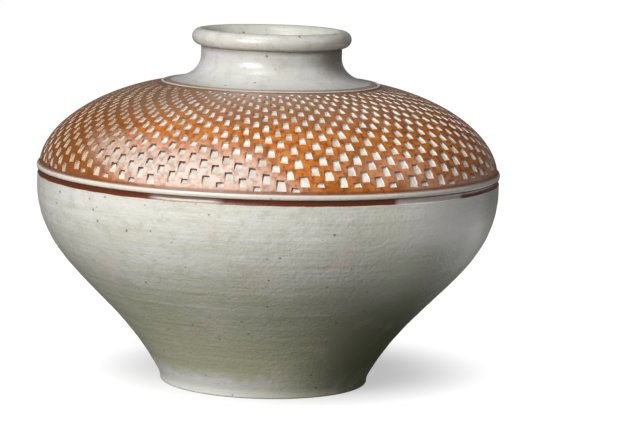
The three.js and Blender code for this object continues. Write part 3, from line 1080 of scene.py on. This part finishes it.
# %% Colour of the slip on the webs
RUST = (0.57, 0.150, 0.014)
DARK_RUST = (0.20, 0.060, 0.009)
OCHRE = (0.60, 0.235, 0.045)
VEIL = (0.27, 0.17, 0.11)
PAINTED_HIGHLIGHT_ON_WEBS = (0.62, 0.53, 0.46)
STRIP_BROWN = (0.17, 0.060, 0.030)
THICK_SIDE = (-115.0, -42.0)
SLANT = 500.0

slip_glaze, place = start_glaze("iron slip and notch glaze")
patch = noise(place["Point"], 38.0, 3.0)
grain = noise(place["Point"], 700.0, 3.0)
mottle = noise(place["Point"], 190.0, 2.0)
thick_side = times(band(place["Round"], *THICK_SIDE, 14.0), 0.85)
thick = calculate("MINIMUM", plus(ramp(patch, 0.48, 0.72, 0.0, 0.6), thick_side), 0.9)
rust = blend(ramp(mottle, 0.50, 0.64, 0.0, 0.8), RUST, OCHRE)
for dark in (ramp(mottle, 0.48, 0.34, 0.0, 0.8), thick, ramp(grain, 0.48, 0.68, 0.0, 0.6)):
    rust = blend(dark, rust, DARK_RUST)
veil = ramp(place["Height"], shoulder_top - 30 * mm, shoulder_top - 4 * mm, 0.0, 0.7)
rust = blend(veil, rust, VEIL)

# Painted highlight: low on the front left, webs and notches are painted pale and pinkish.
slanted = plus(place["Round"], times(plus(place["Height"], -bead_top), SLANT))
highlight_side = times(ramp(slanted, -44.0, -25.0), ramp(slanted, 16.0, 1.0))
highlight_height = band(place["Height"], bead_top, bead_top + 32 * mm, 15 * mm)
painted_highlight = times(times(highlight_side, highlight_height), ramp(mottle, 0.36, 0.60, 0.5, 0.95))
rust = blend(painted_highlight, rust, PAINTED_HIGHLIGHT_ON_WEBS)
# The same painted reflection, weaker, on the webs just above the bead on the right.
rust = blend(times(painted_reflection_patch(place), 0.45), rust, PAINTED_HIGHLIGHT_ON_WEBS)
strip = ramp(place["Height"], bead_top + 3.2 * mm, bead_top + 1.2 * mm, 0.0, 0.7)
rust = blend(strip, rust, STRIP_BROWN)

# %% Colour in the notches, and the finished glaze
NOTCH_CREAM = (0.76, 0.73, 0.66)
NOTCH_TAN = (0.46, 0.325, 0.195)
PAINTED_HIGHLIGHT_IN_NOTCHES = (0.49, 0.445, 0.37)
WALL_BROWN = (0.13, 0.045, 0.014)
# Colour of the painted shade along the top and left walls of the notches.
PAINTED_NOTCH_SHADE = (0.075, 0.036, 0.020)


def stored(name):
    """A value that the carving left in the mesh, made ragged by the grain."""
    value = put("Attribute", attribute_name=name).outputs["Fac"]
    return plus(value, times(plus(grain, -0.5), 0.5))


tone = noise(place["Point"], 80.0, 1.0)
pale = NOTCH_CREAM
for tan in (ramp(tone, 0.48, 0.70, 0.0, 0.6), thick_side, ramp(grain, 0.5, 0.8, 0.0, 0.25)):
    pale = blend(tan, pale, NOTCH_TAN)
# The painted highlight, in the notches.
pale = blend(painted_highlight, pale, PAINTED_HIGHLIGHT_IN_NOTCHES)

cut_value, painted_notch_shade_value = stored("cut"), stored("painted_notch_shade")
wall = times(band(cut_value, 0.18, 0.60, 0.10), 0.6)
in_notch = ramp(cut_value, 0.42, 0.72)
# Painted shade: a dark line inside the top and left of each notch, strongest in the highlight.
shade = times(ramp(painted_notch_shade_value, 0.76, 0.97), ramp(painted_highlight, 0.0, 0.4, 0.42, 0.9))
colour = blend(in_notch, blend(wall, rust, WALL_BROWN), pale)
colour = blend(shade, colour, PAINTED_NOTCH_SHADE)

dull = ramp(painted_highlight, 0.0, 0.5)
matt = calculate("MAXIMUM", ramp(in_notch, 0.0, 1.0, 0.27, 0.55), ramp(dull, 0.0, 1.0, 0.27, 0.48))
gloss = times(ramp(in_notch, 0.0, 1.0, 0.6, 0.0), ramp(dull, 0.0, 1.0, 1.0, 0.1))
close(place, colour, matt, bump=0.45, coat=gloss)
print(f"{slip_glaze.name}: {len(tree.nodes)} nodes")

# %% Give every piece its glaze and its place in the frame
finishes = [
    (foot, foot_glaze, "foot_ring", "foot_glaze"),
    (bowl, bowl_glaze, "lower_section", "body_glaze"),
    (bead, bead_glaze, "belt_bead", "bead_glaze"),
    (shoulder, slip_glaze, "shoulder_section", "iron_slip"),
    (ridge, ridge_glaze, "neck_fillet", "bead_glaze"),
    (collar, collar_glaze, "neck_collar", "body_glaze"),
    (rim, rim_glaze, "rolled_rim", "body_glaze"),
]
for piece, glaze, node, slot in finishes:
    piece.data.materials.clear()
    piece.data.materials.append(glaze)
    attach(piece, "root")
    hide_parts(node)
print(len(finishes), "pieces dressed")

# %% [markdown]
# ## Floor, light and camera
#
# The photograph is a cut-out on white with a soft shadow. The light comes from a large softbox
# low on the left in front of the vase. A weaker one high above it makes the highlights on the
# neck and rim, and a weak one from the right keeps that side from going black.
#
# The floor and the world are white for the camera by a little light of their own that adds
# nothing to the vase. The floor's light dims round the foot, which deepens the soft shadow. In
# reflections the room is nearly dark, with paler walls, and on the floor only one bright place
# to the right shows: it draws the pale edge down the right side of the belly.

# %% Floor
FLOOR_SIZE = 12.0
FLOOR_BACK = 2.5
WHITE_PAPER = (0.30, 0.30, 0.30)
DIM_PAPER = (0.18, 0.18, 0.18)
DEEPEST_SHADE = (0.02, 0.045, 0.0)
BRIGHT_PLACE = (0.70, 0.08, 0.0)


def rays():
    """Masks for what the camera sees, and for what is seen in a reflection."""
    path = put("LightPath").outputs
    return path["Is Camera Ray"], calculate("MAXIMUM", path["Is Glossy Ray"],
                                            path["Is Transmission Ray"])


def distance_from(spot):
    here = put("TexCoord").outputs["Object"]
    return put("VectorMath", {0: here, 1: spot}, operation="DISTANCE").outputs["Value"]


clear_selection()
bpy.ops.mesh.primitive_plane_add(size=FLOOR_SIZE, location=(0, FLOOR_BACK, 0))
floor = bpy.context.object
floor.name = "pale_floor"
bpy.ops.object.transform_apply(location=True)
paper = start_tree(bpy.data.materials.new("white studio floor"))
seen, reflected = rays()
shade = ramp(distance_from(DEEPEST_SHADE), 0.085, 0.225, 0.47, 1.0)
glow = ramp(distance_from(BRIGHT_PLACE), 0.56, 0.20, 0.04, 1.3)
own_light = plus(times(seen, shade), times(reflected, glow))
sheet = put("BsdfDiffuse", {"Color": blend(seen, DIM_PAPER, WHITE_PAPER)})
lift = put("Emission", {"Color": (1, 1, 1, 1), "Strength": own_light})
both = put("AddShader", {0: sheet.outputs[0], 1: lift.outputs[0]})
put("OutputMaterial", {"Surface": both.outputs[0]})
floor.data.materials.append(paper)

# %% World
SKY = 0.03
DARK_CEILING = 0.03
PALE_WALLS = 0.2

world = start_tree(bpy.data.worlds.new("studio"))
bpy.context.scene.world = world
seen, reflected = rays()
upward = put("SeparateXYZ", {0: put("TexCoord").outputs["Generated"]}).outputs["Z"]
walls = times(reflected, ramp(upward, 0.0, 0.2, PALE_WALLS, DARK_CEILING))
dim = put("Background", {"Color": (0.96, 0.98, 1.0, 1), "Strength": SKY})
white = put("Background", {"Color": (1, 1, 1, 1), "Strength": 1.0})
choice = put("MixShader", {0: calculate("MAXIMUM", seen, walls), 1: dim.outputs[0],
                           2: white.outputs[0]})
put("OutputWorld", {"Surface": choice.outputs[0]})

# %% Softboxes
VASE_MIDDLE = Vector((0, 0, 0.18))
LAMP_DISTANCE = 2.0


def softbox(name, turned, raised, width, height, power):
    """An area light that looks at the vase. Degrees from the front, to the right."""
    angle, lift = math.radians(turned), math.radians(raised)
    away = Vector((math.sin(angle) * math.cos(lift), -math.cos(angle) * math.cos(lift),
                   math.sin(lift)))
    clear_selection()
    bpy.ops.object.light_add(type="AREA", location=VASE_MIDDLE + LAMP_DISTANCE * away,
                             rotation=away.to_track_quat("Z", "Y").to_euler())
    lamp = bpy.context.object
    lamp.name = name
    lamp.data.shape = "RECTANGLE"
    lamp.data.size, lamp.data.size_y = width, height
    lamp.data.energy = power
    return lamp


lamps = [softbox("key softbox", -32, 22, 0.9, 0.8, 41),
         softbox("high softbox", -32, 61, 0.8, 0.6, 12),
         softbox("side softbox", 72, 38, 1.4, 1.2, 7.5)]
print("lights:", ", ".join(lamp.name for lamp in lamps))

# %% [markdown]
# The camera was found from the photograph. The rim, the lines of the neck and the belt are
# circles, and the ellipses that they make in the picture fix how far down the camera looks, how
# far away it stands and that it was tipped by a degree and a half. The vase is small in a long
# lens, so its sides hardly converge.

# %% Camera
CAMERA_PLACE = Vector((0.0, -2.5, 0.4995))
LOOK_RIGHT = 0.01936
LOOK_DOWN = 0.1376
TIPPED = 0.0289
LENS = 154.3
SENSOR = 36.0

forward = Vector((math.sin(LOOK_RIGHT) * math.cos(LOOK_DOWN),
                  math.cos(LOOK_RIGHT) * math.cos(LOOK_DOWN), -math.sin(LOOK_DOWN)))
sideways = Vector((math.cos(LOOK_RIGHT), -math.sin(LOOK_RIGHT), 0.0))
upright = sideways.cross(forward)
camera_right = math.cos(TIPPED) * sideways + math.sin(TIPPED) * upright
camera_up = math.cos(TIPPED) * upright - math.sin(TIPPED) * sideways
camera_turn = Matrix((camera_right, camera_up, -forward)).transposed()

clear_selection()
bpy.ops.object.camera_add(location=CAMERA_PLACE, rotation=camera_turn.to_euler())
camera = bpy.context.object
camera.data.sensor_width = SENSOR
camera.data.lens = LENS
bpy.context.scene.camera = camera
bpy.context.scene.view_settings.view_transform = "Standard"

# %% Clear away the tools
for space in (ring_space, wobble_space):
    bpy.data.objects.remove(space)
